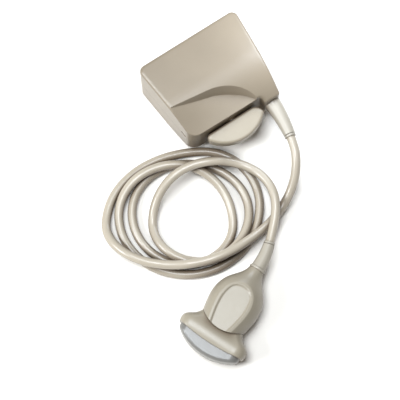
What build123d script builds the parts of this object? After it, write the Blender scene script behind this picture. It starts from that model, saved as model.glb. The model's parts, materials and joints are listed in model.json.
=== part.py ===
"""Curved-array ultrasound probe with its coiled cable and its scanner connector.

Millimetres, Z up. Everything lies on the floor at Z = 0, and the origin is under the middle of the
probe and the connector. The probe and the connector are drawn in local planes of their own.
"""

import math
import os

from build123d import *

# Places on the floor
CONNECTOR_X = 11.9
CONNECTOR_Y = 61.0
CONNECTOR_TURN = 33.5
PROBE_X = -6.2
PROBE_Y = -131.4
PROBE_TURN = 57.0

# Fits
RUNNING_FIT = 0.05
SLIDE_FIT = 0.15
BOND_LINE = 0.1
SEAT_GAP = 0.1
CUT_PAST = 1.0

# Cable and strain reliefs
CABLE_DIAMETER = 8.0
BOOT_TIP_WALL = 0.9
BOOT_NECK_WALL = 1.0
BOOT_FLANGE_WALL = 2.0
BOOT_FLANGE_LENGTH = 1.8
BOOT_RING_DEPTH = 0.5
BOOT_RING_LENGTH = 2.4
FERRULE_WALL = 1.2
FERRULE_LENGTH = 6.0
CABLE_JACKET = 1.0
CABLE_TAIL = 0.5
FAN_CORNER = 1.2
BOOT_SECTIONS = 4

# Connector housing
HOUSING_THICKNESS = 58.0
HOUSING_DEPTH = 77.0
HOUSING_BACK_WIDTH = 102.0
HOUSING_FRONT_WIDTH = 88.4
HOUSING_OFFSET = 2.6
HOUSING_WALL = 2.5
BACK_CORNER = 6.0
FRONT_CORNER = 10.0
CAVITY_CORNER = 1.0
NOSE_WIDTH = 16.0
NOSE_REACH = 6.5
NOSE_CORNER = 2.4
NOTCH_CORNER = 3.6
ROLL_START = 38.0
ROLL_DROP = 15.0
EDGE_ROUNDING = 3.0

# Finger scoops in the wide sides of the housing
SCOOP_LEVEL = 16.0
SCOOP_RADIUS = 46.5
SCOOP_CENTRE_X = -14.4
SCOOP_CENTRE_Y = -25.1
SCOOP_LEAN = 6.8
SCOOP_SLOPE = 25.0
SCOOP_RUN_OUT = 52.0
SCOOP_DEEPEST_X = 14.0

# Snap window in the left side, just above the seam
SNAP_Y = 12.0
SNAP_LENGTH = 7.0
SNAP_HEIGHT = 3.0
SNAP_LEVEL = 3.0
SNAP_DEPTH = 0.8

# Locking knob and its shaft
KNOB_LENGTH = 55.0
KNOB_REACH = 20.0
KNOB_SHOULDER = 5.2
KNOB_HEEL = 9.0
KNOB_THICKNESS = 15.0
KNOB_EDGE = 10.0
KNOB_ROUNDING = 2.5
KNOB_CORNER = 3.5
KNOB_GAP = 1.0
KNOB_BORE_DEPTH = 13.0
SHAFT_DIAMETER = 8.0
SHAFT_TIP_GAP = 0.4
KEY_SPAN = 12.0
KEY_WIDTH = 2.6
KEY_LENGTH = 2.2
KEY_CLEARANCE = 0.8
PIN_DIAMETER = 2.5
PIN_DEPTH = 7.0
PIN_TIP = 5.2
BUSHING_WALL = 3.0
BUSHING_FLANGE = 2.0
BUSHING_FLANGE_WIDTH = 2.2
BUSHING_LENGTH = 10.0
SEAL_SECTION = 1.6
SEAL_ROUNDING = 0.45
CLIP_THICKNESS = 1.2
CLIP_WIDTH = 2.4
CLIP_GROOVE = 0.8
CLIP_MOUTH = 5.6

# Plug at the back of the connector
PLUG_SIDE = 11.0
PLUG_HEIGHT = 44.0
PLUG_CORNER = 3.0
PLUG_SHELL_WALL = 1.6
PLUG_SHELL_DEPTH = 15.0
PLUG_FLANGE = 2.2
PLUG_FLANGE_THICKNESS = 2.0
PLUG_RECESS = 3.0
PLUG_BODY_RIM = 1.0
CONTACT_ROWS = 6
CONTACT_PITCH = 4.2
CONTACT_SIDE = 7.0
CONTACT_HEIGHT = 2.2
CONTACT_DEPTH = 4.0
CONTACT_STAND = 1.0
CONNECTOR_BOARD_THICKNESS = 1.6
BOARD_MARGIN = 1.5
SHAFT_PASSAGE = 1.2
INDUCTOR_COLUMNS = 6
INDUCTOR_SIDE = 6.5
INDUCTOR_WIDTH = 7.0
INDUCTOR_HEIGHT = 7.0
INDUCTOR_LENGTH = 6.0
INDUCTOR_LEVEL = 12.0
RIB_THICKNESS = 2.0
RIB_DEPTH = 4.5
RIB_WIDTH = 60.0

# Screws that close the housing
SCREW_DIAMETER = 3.0
SCREW_HEAD = 5.6
SCREW_HEAD_HEIGHT = 2.6
SCREW_DEPTH = 3.0
SCREW_BITE = 9.0
BOSS_WALL = 2.4
SCREW_SIDE = 8.0
BACK_SCREW_INSET = 23.0
FRONT_SCREW_Y = 34.0
FRONT_SCREW_X = -8.0
FRONT_SCREW_SPREAD = 22.0

# Connector strain relief
CONNECTOR_BOOT_SIDE = 8.2
CONNECTOR_BOOT_LENGTH = 35.0
CONNECTOR_BOOT_DIAMETER = 15.0
CONNECTOR_BOOT_BEND = 13.0
CONNECTOR_FAN_SHIFT = 14.6
CONNECTOR_FAN_WIDTH = 26.0
CONNECTOR_FAN_THICKNESS = 3.0

# Probe handle
HANDLE_THICKNESS = 32.0
HANDLE_WALL = 2.0
HANDLE_STATIONS = (
    (4.0, 17.4, 18.4),
    (12.0, 19.2, 19.4),
    (20.0, 20.9, 20.2),
    (30.0, 22.7, 20.6),
    (40.0, 23.0, 20.2),
    (48.0, 21.2, 18.6),
    (55.0, 17.6, 15.4),
    (62.0, 12.0, 10.9),
    (68.0, 8.3, 8.0),
    (72.0, 7.0, 7.0),
)
FACET_BEVEL = 2.0
FACET_BEVEL_DEPTH = 0.7
DISH_RIM = 1.6
DISH_DEPTH = 0.9
DISH_RUN = 1.9
CREASE_RADIUS = 28.0
CREASE_CENTRE = 37.7
POST_DIAMETER = 4.4
POST_X = 45.0
POST_SPREAD = 10.0

# Probe head
NOSE_STATIONS = (
    (-6.0, 30.2, 10.8, 8.6),
    (-2.0, 31.6, 11.9, 9.6),
    (2.0, 32.4, 12.4, 10.0),
    (6.0, 31.8, 12.0, 9.8),
    (9.5, 28.6, 11.0, 9.3),
    (13.0, 23.9, 10.1, 8.8),
    (17.0, 20.9, 9.7, 8.5),
    (22.0, 20.2, 9.6, 8.4),
)
RIM_RADIUS = 157.0
RIM_X = -4.4
SPIGOT_HALF_WIDTH = 16.0
SPIGOT_HALF_HEIGHT = 7.6
SPIGOT_CORNER = 5.0
SPIGOT_WALL = 1.8
SPIGOT_END = 26.0

# Lens and array
LENS_RADIUS = 48.0
LENS_APEX = -15.5
LENS_WIDTH = 59.0
LENS_HEIGHT = 19.6
LENS_CORNER = 7.6
LENS_SEAT_X = 3.0
LENS_ROUNDING = 3.0
LENS_SKIRT = 1.8
LENS_FACE = 1.6
MATCHING_THICKNESS = 0.7
CRYSTAL_THICKNESS = 0.6
ARRAY_HEIGHT = 13.0
ARRAY_WIDTH = 50.0
FRAME_LENGTH = 3.4
FRAME_WIDTH = 54.0
FRAME_HEIGHT = 16.4
FRAME_CORNER = 2.0

# Probe electronics
FLEX_THICKNESS = 0.5
FLEX_WIDTH = 22.0
FLEX_OVERLAP = 6.0
BOARD_START = 30.0
BOARD_LENGTH = 23.0
BOARD_WIDTH = 27.0
BOARD_THICKNESS = 1.6
COAX_BLOCK_LENGTH = 8.0
COAX_BLOCK_WIDTH = 13.0
COAX_BLOCK_HEIGHT = 3.0
PROBE_FAN_GAP = 0.6
PROBE_FAN_THICKNESS = 4.0

# Probe strain relief
COLLAR_LENGTH = 2.4
COLLAR_STEP = 0.4
COLLAR_ROUNDING = 0.7
PROBE_BOOT_LENGTH = 25.0
PROBE_BOOT_DIAMETER = 13.2
PROBE_BOOT_BEND = 18.0

# Coil of the cable: outer and inner ellipses on the floor
COIL_CENTRE = (-32.1, -17.4)
COIL_HALF_X = 72.2
COIL_HALF_Y = 58.6
COIL_HOLE_CENTRE = (-22.5, -17.3)
COIL_HOLE_HALF_X = 32.6
COIL_HOLE_HALF_Y = 42.6
COIL_HEIGHT = 18.0

# Routes of the two leads, each straight for a little way past its strain relief.
# An arc takes up to its share of the run on either side of it.
LEAD_STRAIGHT = 10.0
ARC_SHARE = 0.45
CONNECTOR_LEAD = (
    (68.4, 24.4, 27.4),
    (67.6, 11.6, 21.4),
    (63.6, -0.4, 14.0),
    (56.8, -12.4, 8.4),
    (47.4, -24.8, 7.2),
    (36.1, -36.2, 10.6),
    (24.4, -45.6, 13.6),
)
PROBE_LEAD = (
    (50.2, -21.2, 17.5),
    (50.2, -7.6, 18.5),
    (45.8, 5.4, 17.5),
    (37.0, 16.1, 15.5),
    (25.1, 23.4, 13.5),
    (12.0, 26.9, 12.0),
)

AXIS_HEIGHT = HOUSING_THICKNESS / 2
PROBE_AXIS_HEIGHT = HANDLE_THICKNESS / 2
CABLE_RADIUS = CABLE_DIAMETER / 2
SHAFT_RADIUS = SHAFT_DIAMETER / 2
BUSHING_RADIUS = SHAFT_RADIUS + BUSHING_WALL
CONNECTOR_BOOT_X = HOUSING_OFFSET + HOUSING_FRONT_WIDTH / 2 - CONNECTOR_BOOT_SIDE
CONNECTOR_FAN_X = CONNECTOR_BOOT_X - CONNECTOR_FAN_SHIFT
PLUG_WIDTH = HOUSING_BACK_WIDTH - 2 * PLUG_SIDE
CONTACT_WIDTH = PLUG_WIDTH - 2 * CONTACT_SIDE
CONTACT_FIRST = KEY_SPAN / 2 + KEY_CLEARANCE + CONTACT_HEIGHT / 2
INDUCTOR_PITCH = (PLUG_WIDTH - 2 * INDUCTOR_SIDE - INDUCTOR_WIDTH) / (INDUCTOR_COLUMNS - 1)

os.makedirs("parts", exist_ok=True)


def local_plane(x, y, turn, height):
    """A level plane at this height, turned on the floor."""
    angle = math.radians(turn)
    return Plane(origin=(x, y, height), x_dir=(math.cos(angle), math.sin(angle), 0), z_dir=(0, 0, 1))


# Local axes of the connector: x across, y from the knob to the plug, origin on the knob's axis.
# Local axes of the probe: x from the lens to the cable, y across, origin on the probe's axis.
connector = local_plane(CONNECTOR_X, CONNECTOR_Y, CONNECTOR_TURN, AXIS_HEIGHT)
probe = local_plane(PROBE_X, PROBE_Y, PROBE_TURN, PROBE_AXIS_HEIGHT)


def across_connector(y, x=0.0):
    """A plane square to the shaft at depth y, facing the knob, with its x across and its y up."""
    return Plane(
        origin=connector.from_local_coords((x, y, 0)),
        x_dir=connector.x_dir,
        z_dir=-connector.y_dir,
    )


def beside_connector():
    """The plane through the shaft that shows the side profile, with its x along the shaft and its y up."""
    return Plane(origin=connector.origin, x_dir=connector.y_dir, z_dir=connector.x_dir)


def across_probe(x):
    """A plane square to the probe's axis at x, facing the cable, with its x across and its y up."""
    return Plane(
        origin=probe.from_local_coords((x, 0, 0)),
        x_dir=probe.y_dir,
        z_dir=probe.x_dir,
    )


def finish(builder, name):
    """Label one finished piece and write it."""
    builder.part.label = name
    export_step(builder.part, f"parts/{name}.step")


def housing_side(y, inset):
    """Left and right edges of the housing's plan at depth y."""
    share = y / HOUSING_DEPTH
    half = (HOUSING_FRONT_WIDTH + (HOUSING_BACK_WIDTH - HOUSING_FRONT_WIDTH) * share) / 2
    return HOUSING_OFFSET - half + inset, HOUSING_OFFSET + half - inset


def roll_radius():
    """Radius of the arc by which the wide sides roll down to the front."""
    run = ROLL_START + NOSE_REACH
    return (run**2 + ROLL_DROP**2) / (2 * ROLL_DROP)


def roll_level(y):
    """Height of the wide side above the shaft at depth y, where it rolls down."""
    radius = roll_radius()
    return HOUSING_THICKNESS / 2 - radius + math.sqrt(radius**2 - (ROLL_START - y) ** 2)


def housing_plan(inset):
    """Draw the plan of the housing. An inset plan is the cavity, which stays out of the cable's nose."""
    back = HOUSING_DEPTH - inset
    back_left, back_right = housing_side(back, inset)
    front_left, front_right = housing_side(inset, inset)
    nose_left = CONNECTOR_BOOT_X - NOSE_WIDTH / 2
    nose_right = CONNECTOR_BOOT_X + NOSE_WIDTH / 2
    corners = [(back_left, back), (back_right, back)]
    if inset > 0:
        corners += [(front_right, inset)]
    else:
        corners += [(nose_right, -NOSE_REACH), (nose_left, -NOSE_REACH), (nose_left, 0)]
    corners += [(front_left, inset)]
    with BuildSketch(connector) as plan:
        with BuildLine():
            Polyline(*corners, close=True)
        make_face()
        radii = {(back_left, back): BACK_CORNER, (back_right, back): BACK_CORNER}
        radii[(front_left, inset)] = FRONT_CORNER
        if inset == 0:
            radii[(nose_right, -NOSE_REACH)] = NOSE_CORNER
            radii[(nose_left, -NOSE_REACH)] = NOSE_CORNER
            radii[(nose_left, 0)] = NOTCH_CORNER
        for corner, radius in radii.items():
            nearest = plan.vertices().sort_by_distance((*corner, 0))[0]
            fillet(nearest, max(radius - inset, CAVITY_CORNER))
    return plan.sketch


def housing_profile(inset):
    """Draw the side profile: flat at the back, rolling down to the front on both wide sides."""
    half = HOUSING_THICKNESS / 2 - inset
    back = HOUSING_DEPTH + CUT_PAST
    radius = roll_radius() - inset
    front = -NOSE_REACH
    centre = half - radius
    drop_end = centre + math.sqrt(radius**2 - (ROLL_START - front) ** 2)
    half_turn = math.asin((ROLL_START - front) / radius) / 2
    middle_y = ROLL_START - radius * math.sin(half_turn)
    middle_z = centre + radius * math.cos(half_turn)
    with BuildSketch(beside_connector()) as profile:
        with BuildLine():
            Line((back, -half), (back, half))
            Line((back, half), (ROLL_START, half))
            ThreePointArc((ROLL_START, half), (middle_y, middle_z), (front, drop_end))
            Line((front, drop_end), (front, -drop_end))
            ThreePointArc((front, -drop_end), (middle_y, -middle_z), (ROLL_START, -half))
            Line((ROLL_START, -half), (back, -half))
        make_face()
    return profile.sketch


def housing_form(inset):
    """The solid inside the housing's outer surface, drawn in by the inset."""
    with BuildPart() as form:
        extrude(housing_plan(inset), amount=HOUSING_THICKNESS, both=True)
        extrude(housing_profile(inset), amount=HOUSING_BACK_WIDTH, both=True, mode=Mode.INTERSECT)
    return form.part


def scoop_tool(grow):
    """The space above both finger scoops, grown by the wall for the cavity.

    The floor starts in the rolled side at the left and sinks to its level at the deepest place.
    """
    lean = math.radians(SCOOP_LEAN)
    top_x = SCOOP_CENTRE_X + SCOOP_RADIUS * math.sin(lean)
    top_y = SCOOP_CENTRE_Y + SCOOP_RADIUS * math.cos(lean)
    reach = SCOOP_RUN_OUT + top_x
    left = (top_x - reach, top_y + reach * math.tan(lean))
    middle = (lean + math.radians(90)) / 2
    half_way = (
        SCOOP_CENTRE_X + SCOOP_RADIUS * math.sin(middle),
        SCOOP_CENTRE_Y + SCOOP_RADIUS * math.cos(middle),
    )
    end = (SCOOP_CENTRE_X + SCOOP_RADIUS, SCOOP_CENTRE_Y)
    fall = (roll_level(left[1]) - roll_level(0)) / left[1]
    front = -NOSE_REACH - CUT_PAST
    back = HOUSING_DEPTH / 2
    above = HOUSING_THICKNESS
    far_left = left[0] - reach
    spread = (SCOOP_DEEPEST_X - far_left) / (SCOOP_DEEPEST_X - left[0])
    front_rise = (roll_level(0) + front * fall - SCOOP_LEVEL) * spread
    back_rise = (roll_level(0) + back * fall - SCOOP_LEVEL) * spread
    with BuildPart() as over_floor:
        sections = (
            (far_left, SCOOP_LEVEL + front_rise, SCOOP_LEVEL + back_rise),
            (SCOOP_DEEPEST_X, SCOOP_LEVEL, SCOOP_LEVEL),
            (end[0] + grow, SCOOP_LEVEL, SCOOP_LEVEL),
        )
        for x, front_level, back_level in sections:
            section = Plane(
                origin=connector.from_local_coords((x, 0, 0)),
                x_dir=connector.y_dir,
                z_dir=connector.x_dir,
            )
            with BuildSketch(section):
                with BuildLine():
                    Polyline(
                        (front, front_level - grow),
                        (back, back_level - grow),
                        (back, above),
                        (front, above),
                        close=True,
                    )
                make_face()
        loft(ruled=True)
    with BuildPart() as tool:
        with BuildSketch(connector.offset(SCOOP_LEVEL - grow - CUT_PAST)):
            with BuildLine():
                Line((left[0], end[1]), left)
                Line(left, (top_x, top_y))
                ThreePointArc((top_x, top_y), half_way, end)
                Line(end, (left[0], end[1]))
            make_face()
            if grow > 0:
                offset(amount=grow, kind=Kind.INTERSECTION)
        extrude(amount=HOUSING_THICKNESS / 2, taper=-SCOOP_SLOPE)
        add(over_floor.part, mode=Mode.INTERSECT)
        mirror(about=connector)
    return tool.part


def boot_path(start, direction, side, length, bend):
    """The bent line of a strain relief from its base to its tip, level with its start."""
    turn = math.radians(bend)
    radius = length / turn
    centre = start + side * radius

    def point(angle):
        return centre - side * (radius * math.cos(angle)) + direction * (radius * math.sin(angle))

    return Edge.make_three_point_arc(start, point(turn / 2), point(turn))


def section_on(path, share):
    """A plane square to a path, at a share of its length."""
    return Plane(origin=path @ share, x_dir=(0, 0, 1), z_dir=path % share)


def screw_places():
    """Places of the four housing screws: two beside the board, two in front of it."""
    back_y = HOUSING_DEPTH - BACK_SCREW_INSET
    left, right = housing_side(back_y, SCREW_SIDE)
    front_left = FRONT_SCREW_X - FRONT_SCREW_SPREAD
    front_right = FRONT_SCREW_X + FRONT_SCREW_SPREAD
    return (left, back_y), (right, back_y), (front_left, FRONT_SCREW_Y), (front_right, FRONT_SCREW_Y)


outer_form = housing_form(0)
scoop = scoop_tool(0)
cavity_scoop = scoop_tool(HOUSING_WALL)
plug_back = HOUSING_DEPTH
flange_back = HOUSING_DEPTH - HOUSING_WALL - SEAT_GAP
flange_front = flange_back - PLUG_FLANGE_THICKNESS
boot_groove_front = -NOSE_REACH + HOUSING_WALL

# Strain relief of the connector: its path, and the cable that it holds
connector_boot_start = connector.from_local_coords((CONNECTOR_BOOT_X, -NOSE_REACH, 0))
connector_boot_path = boot_path(
    connector_boot_start, -connector.y_dir, -connector.x_dir, CONNECTOR_BOOT_LENGTH, CONNECTOR_BOOT_BEND
)

with BuildPart() as cavity:
    add(housing_form(HOUSING_WALL))
    add(cavity_scoop, mode=Mode.SUBTRACT)

with BuildPart() as bosses:
    with BuildSketch(connector):
        with Locations(*screw_places()):
            Circle(SCREW_DIAMETER / 2 + BOSS_WALL)
    extrude(amount=HOUSING_THICKNESS, both=True)
    rib_gap = HOUSING_THICKNESS - 2 * (HOUSING_WALL + RIB_DEPTH)
    with BuildSketch(across_connector(flange_front - SEAT_GAP)):
        Rectangle(RIB_WIDTH, HOUSING_THICKNESS)
        Rectangle(RIB_WIDTH + CUT_PAST, rib_gap, mode=Mode.SUBTRACT)
    extrude(amount=RIB_THICKNESS)
    add(cavity.part, mode=Mode.INTERSECT)

with BuildPart() as housing:
    add(outer_form)
    fillet(housing.edges().filter_by(Axis.Z, reverse=True), EDGE_ROUNDING)
    add(scoop, mode=Mode.SUBTRACT)
    add(cavity.part, mode=Mode.SUBTRACT)
    add(bosses.part)
    # Window of the plug, hole of the bushing, and the stepped bore of the strain relief
    with BuildSketch(across_connector(HOUSING_DEPTH + CUT_PAST)):
        RectangleRounded(PLUG_WIDTH + 2 * SLIDE_FIT, PLUG_HEIGHT + 2 * SLIDE_FIT, PLUG_CORNER + SLIDE_FIT)
    extrude(amount=HOUSING_WALL + 2 * CUT_PAST, mode=Mode.SUBTRACT)
    with BuildSketch(across_connector(-CUT_PAST)):
        Circle(BUSHING_RADIUS + SLIDE_FIT)
    extrude(amount=-(HOUSING_WALL + 2 * CUT_PAST), mode=Mode.SUBTRACT)
    with BuildSketch(across_connector(-NOSE_REACH - CUT_PAST, CONNECTOR_BOOT_X)):
        Circle(CABLE_RADIUS + BOOT_NECK_WALL + SLIDE_FIT)
    extrude(amount=-(NOSE_REACH + HOUSING_WALL + 2 * CUT_PAST), mode=Mode.SUBTRACT)
    with BuildSketch(across_connector(boot_groove_front, CONNECTOR_BOOT_X)):
        Circle(CABLE_RADIUS + BOOT_FLANGE_WALL + SLIDE_FIT)
    extrude(amount=-(BOOT_FLANGE_LENGTH + 2 * SLIDE_FIT), mode=Mode.SUBTRACT)

snap_x = housing_side(SNAP_Y, SNAP_DEPTH)[0]
snap_plane = Plane(
    origin=connector.from_local_coords((snap_x, SNAP_Y, SNAP_LEVEL)),
    x_dir=connector.y_dir,
    z_dir=-connector.x_dir,
)

with BuildPart() as upper_cover:
    add(housing.part)
    split(bisect_by=connector, keep=Keep.TOP)
    with BuildSketch(snap_plane):
        SlotOverall(SNAP_LENGTH, SNAP_HEIGHT)
    extrude(amount=SNAP_LENGTH, mode=Mode.SUBTRACT)
    with BuildSketch(connector):
        with Locations(*screw_places()):
            Circle(SCREW_DIAMETER / 2)
    extrude(amount=SCREW_BITE + CUT_PAST, mode=Mode.SUBTRACT)
finish(upper_cover, "upper_cover")

screw_seat = -HOUSING_THICKNESS / 2 + SCREW_DEPTH + SCREW_HEAD_HEIGHT

with BuildPart() as lower_cover:
    add(housing.part)
    split(bisect_by=connector, keep=Keep.BOTTOM)
    with BuildSketch(connector):
        with Locations(*screw_places()):
            Circle(SCREW_DIAMETER / 2 + SLIDE_FIT)
    extrude(amount=-HOUSING_THICKNESS, mode=Mode.SUBTRACT)
    with BuildSketch(connector.offset(screw_seat)):
        with Locations(*screw_places()):
            Circle(SCREW_HEAD / 2 + SLIDE_FIT)
    extrude(amount=-HOUSING_THICKNESS, mode=Mode.SUBTRACT)
finish(lower_cover, "lower_cover")

with BuildPart() as housing_screws:
    with BuildSketch(connector.offset(screw_seat - SEAT_GAP)):
        with Locations(*screw_places()):
            Circle(SCREW_HEAD / 2)
    extrude(amount=-SCREW_HEAD_HEIGHT)
    with BuildSketch(connector.offset(screw_seat - SEAT_GAP)):
        with Locations(*screw_places()):
            Circle(SCREW_DIAMETER / 2 - RUNNING_FIT)
    extrude(amount=SCREW_BITE - screw_seat)
finish(housing_screws, "housing_screws")

# Locking knob: a D-shaped fin with a blind bore for the shaft
pin_y = -KNOB_GAP - PIN_DEPTH
knob_back = -KNOB_GAP
shoulder_y = knob_back - KNOB_SHOULDER
apex_y = knob_back - KNOB_REACH

with BuildPart() as locking_knob:
    with BuildSketch(connector) as fin:
        with BuildLine():
            tip_left = (-KNOB_LENGTH / 2, shoulder_y)
            corner_left = (-KNOB_LENGTH / 2, knob_back)
            heel_start = (KNOB_LENGTH / 2 - KNOB_HEEL, knob_back)
            heel_end = (KNOB_LENGTH / 2, knob_back - KNOB_HEEL)
            Line(tip_left, corner_left)
            Line(corner_left, heel_start)
            TangentArc(heel_start, heel_end, tangent=(1, 0))
            ThreePointArc(heel_end, (0, apex_y), tip_left)
        make_face()
        pointed = fin.vertices().sort_by(Axis.X)[:2]
        fillet(pointed, KNOB_CORNER)
    extrude(amount=KNOB_THICKNESS / 2, both=True)
    # The fin thins towards its outer edge
    with BuildSketch(beside_connector()):
        with BuildLine():
            Polyline(
                (knob_back, KNOB_THICKNESS / 2),
                (apex_y, KNOB_EDGE / 2),
                (apex_y, -KNOB_EDGE / 2),
                (knob_back, -KNOB_THICKNESS / 2),
                close=True,
            )
        make_face()
    extrude(amount=KNOB_LENGTH, both=True, mode=Mode.INTERSECT)
    by_height = locking_knob.faces().sort_by(Axis.Z)
    fillet(by_height[0].edges() + by_height[-1].edges(), KNOB_ROUNDING)
    with BuildSketch(across_connector(knob_back + CUT_PAST)):
        Circle(SHAFT_RADIUS + RUNNING_FIT)
    extrude(amount=KNOB_BORE_DEPTH + CUT_PAST, mode=Mode.SUBTRACT)
    with BuildSketch(connector.offset(PIN_TIP + SEAT_GAP)):
        with Locations((0, pin_y)):
            Circle(PIN_DIAMETER / 2 + RUNNING_FIT)
    extrude(amount=-KNOB_THICKNESS, mode=Mode.SUBTRACT)
finish(locking_knob, "locking_knob")

bushing_flange_front = HOUSING_WALL + SEAT_GAP
bushing_end = BUSHING_LENGTH
clip_front = bushing_end + SEAT_GAP
shaft_front = knob_back - KNOB_BORE_DEPTH + SLIDE_FIT
shaft_end = HOUSING_DEPTH - SHAFT_TIP_GAP

with BuildPart() as knob_shaft:
    with BuildSketch(across_connector(shaft_front)):
        Circle(SHAFT_RADIUS)
    extrude(amount=-(shaft_end - shaft_front))
    with BuildSketch(across_connector(shaft_end)):
        Rectangle(KEY_SPAN, KEY_WIDTH)
    extrude(amount=KEY_LENGTH)
    with BuildSketch(across_connector(clip_front)):
        Circle(SHAFT_RADIUS + CUT_PAST)
        Circle(SHAFT_RADIUS - CLIP_GROOVE, mode=Mode.SUBTRACT)
    extrude(amount=-(CLIP_THICKNESS + SEAT_GAP), mode=Mode.SUBTRACT)
    with BuildSketch(connector):
        with Locations((0, pin_y)):
            Circle(PIN_DIAMETER / 2 + RUNNING_FIT)
    extrude(amount=SHAFT_DIAMETER, both=True, mode=Mode.SUBTRACT)
finish(knob_shaft, "knob_shaft")

with BuildPart() as knob_pin:
    with BuildSketch(connector.offset(PIN_TIP)):
        with Locations((0, pin_y)):
            Circle(PIN_DIAMETER / 2)
    extrude(amount=-(PIN_TIP + KNOB_THICKNESS / 2 - KNOB_ROUNDING))
finish(knob_pin, "knob_pin")

with BuildPart() as retaining_clip:
    with BuildSketch(across_connector(clip_front + SEAT_GAP / 2)):
        Circle(SHAFT_RADIUS + CLIP_WIDTH)
        Circle(SHAFT_RADIUS - CLIP_GROOVE + RUNNING_FIT, mode=Mode.SUBTRACT)
        with Locations((0, -SHAFT_RADIUS - CLIP_WIDTH / 2)):
            Rectangle(CLIP_MOUTH, 2 * CLIP_WIDTH, mode=Mode.SUBTRACT)
    extrude(amount=-CLIP_THICKNESS)
finish(retaining_clip, "retaining_clip")

seal_y = HOUSING_WALL / 2

with BuildPart() as shaft_bushing:
    with BuildSketch(across_connector(-KNOB_GAP / 2)):
        Circle(BUSHING_RADIUS)
    extrude(amount=-(bushing_end + KNOB_GAP / 2))
    with BuildSketch(across_connector(bushing_flange_front)):
        Circle(BUSHING_RADIUS + BUSHING_FLANGE_WIDTH)
    extrude(amount=-BUSHING_FLANGE)
    with BuildSketch(across_connector(-KNOB_GAP)):
        Circle(SHAFT_RADIUS + RUNNING_FIT)
    extrude(amount=-(bushing_end + 2 * KNOB_GAP), mode=Mode.SUBTRACT)
    # Groove of the seal, open to the shaft
    with BuildSketch(across_connector(seal_y - SEAL_SECTION / 2 - SEAT_GAP)):
        Circle(SHAFT_RADIUS + SEAL_SECTION + SLIDE_FIT)
    extrude(amount=-(SEAL_SECTION + 2 * SEAT_GAP), mode=Mode.SUBTRACT)
finish(shaft_bushing, "shaft_bushing")

with BuildPart() as shaft_seal:
    with BuildSketch(across_connector(seal_y - SEAL_SECTION / 2)):
        Circle(SHAFT_RADIUS + SEAL_SECTION)
        Circle(SHAFT_RADIUS + RUNNING_FIT, mode=Mode.SUBTRACT)
    extrude(amount=-SEAL_SECTION)
    fillet(shaft_seal.edges().filter_by(GeomType.CIRCLE), SEAL_ROUNDING)
finish(shaft_seal, "shaft_seal")

# Plug: a metal shell round an insulating body with rows of contact strips
inner_width = PLUG_WIDTH - 2 * PLUG_SHELL_WALL
inner_height = PLUG_HEIGHT - 2 * PLUG_SHELL_WALL
inner_corner = PLUG_CORNER - PLUG_SHELL_WALL
shell_front = plug_back - PLUG_SHELL_DEPTH
body_back = plug_back - PLUG_RECESS
body_front = shell_front - PLUG_BODY_RIM - SEAT_GAP
passage_radius = SHAFT_RADIUS + SHAFT_PASSAGE

with BuildPart() as plug_shell:
    with BuildSketch(across_connector(plug_back)):
        RectangleRounded(PLUG_WIDTH, PLUG_HEIGHT, PLUG_CORNER)
    extrude(amount=PLUG_SHELL_DEPTH)
    with BuildSketch(across_connector(flange_back)):
        RectangleRounded(PLUG_WIDTH + 2 * PLUG_FLANGE, PLUG_HEIGHT + 2 * PLUG_FLANGE, PLUG_CORNER)
    extrude(amount=PLUG_FLANGE_THICKNESS)
    with BuildSketch(across_connector(plug_back + CUT_PAST)):
        RectangleRounded(inner_width, inner_height, inner_corner)
    extrude(amount=PLUG_SHELL_DEPTH + 2 * CUT_PAST, mode=Mode.SUBTRACT)
finish(plug_shell, "plug_shell")


def contact_levels():
    """Heights of the contact rows, the same number above and below the shaft."""
    for row in range(CONTACT_ROWS // 2):
        level = CONTACT_FIRST + row * CONTACT_PITCH
        yield level
        yield -level


with BuildPart() as plug_body:
    with BuildSketch(across_connector(body_back)):
        RectangleRounded(inner_width - 2 * SLIDE_FIT, inner_height - 2 * SLIDE_FIT, inner_corner)
    extrude(amount=body_back - body_front)
    with BuildSketch(across_connector(shell_front - SEAT_GAP)):
        RectangleRounded(PLUG_WIDTH, PLUG_HEIGHT, PLUG_CORNER)
    extrude(amount=PLUG_BODY_RIM)
    with BuildSketch(across_connector(body_back + CUT_PAST)):
        Circle(passage_radius)
    extrude(amount=PLUG_SHELL_DEPTH + 2 * CUT_PAST, mode=Mode.SUBTRACT)
    with BuildSketch(across_connector(body_back)):
        for level in contact_levels():
            with Locations((0, level)):
                Rectangle(CONTACT_WIDTH + 2 * SLIDE_FIT, CONTACT_HEIGHT + 2 * SLIDE_FIT)
    extrude(amount=CONTACT_DEPTH - CONTACT_STAND + SEAT_GAP, mode=Mode.SUBTRACT)
finish(plug_body, "plug_body")

with BuildPart() as contact_strips:
    with BuildSketch(across_connector(body_back + CONTACT_STAND)):
        for level in contact_levels():
            with Locations((0, level)):
                Rectangle(CONTACT_WIDTH, CONTACT_HEIGHT)
    extrude(amount=CONTACT_DEPTH)
finish(contact_strips, "contact_strips")

board_back = body_front - SEAT_GAP
board_front = board_back - CONNECTOR_BOARD_THICKNESS

with BuildPart() as connector_board:
    with BuildSketch(across_connector(board_back)):
        Rectangle(PLUG_WIDTH - 2 * BOARD_MARGIN, PLUG_HEIGHT - 2 * BOARD_MARGIN)
        Circle(passage_radius, mode=Mode.SUBTRACT)
    extrude(amount=CONNECTOR_BOARD_THICKNESS)
finish(connector_board, "connector_board")

with BuildPart() as tuning_inductors:
    with BuildSketch(across_connector(board_front - SEAT_GAP)):
        with GridLocations(INDUCTOR_PITCH, 2 * INDUCTOR_LEVEL, INDUCTOR_COLUMNS, 2):
            Rectangle(INDUCTOR_WIDTH, INDUCTOR_HEIGHT)
    extrude(amount=INDUCTOR_LENGTH)
finish(tuning_inductors, "tuning_inductors")


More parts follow.
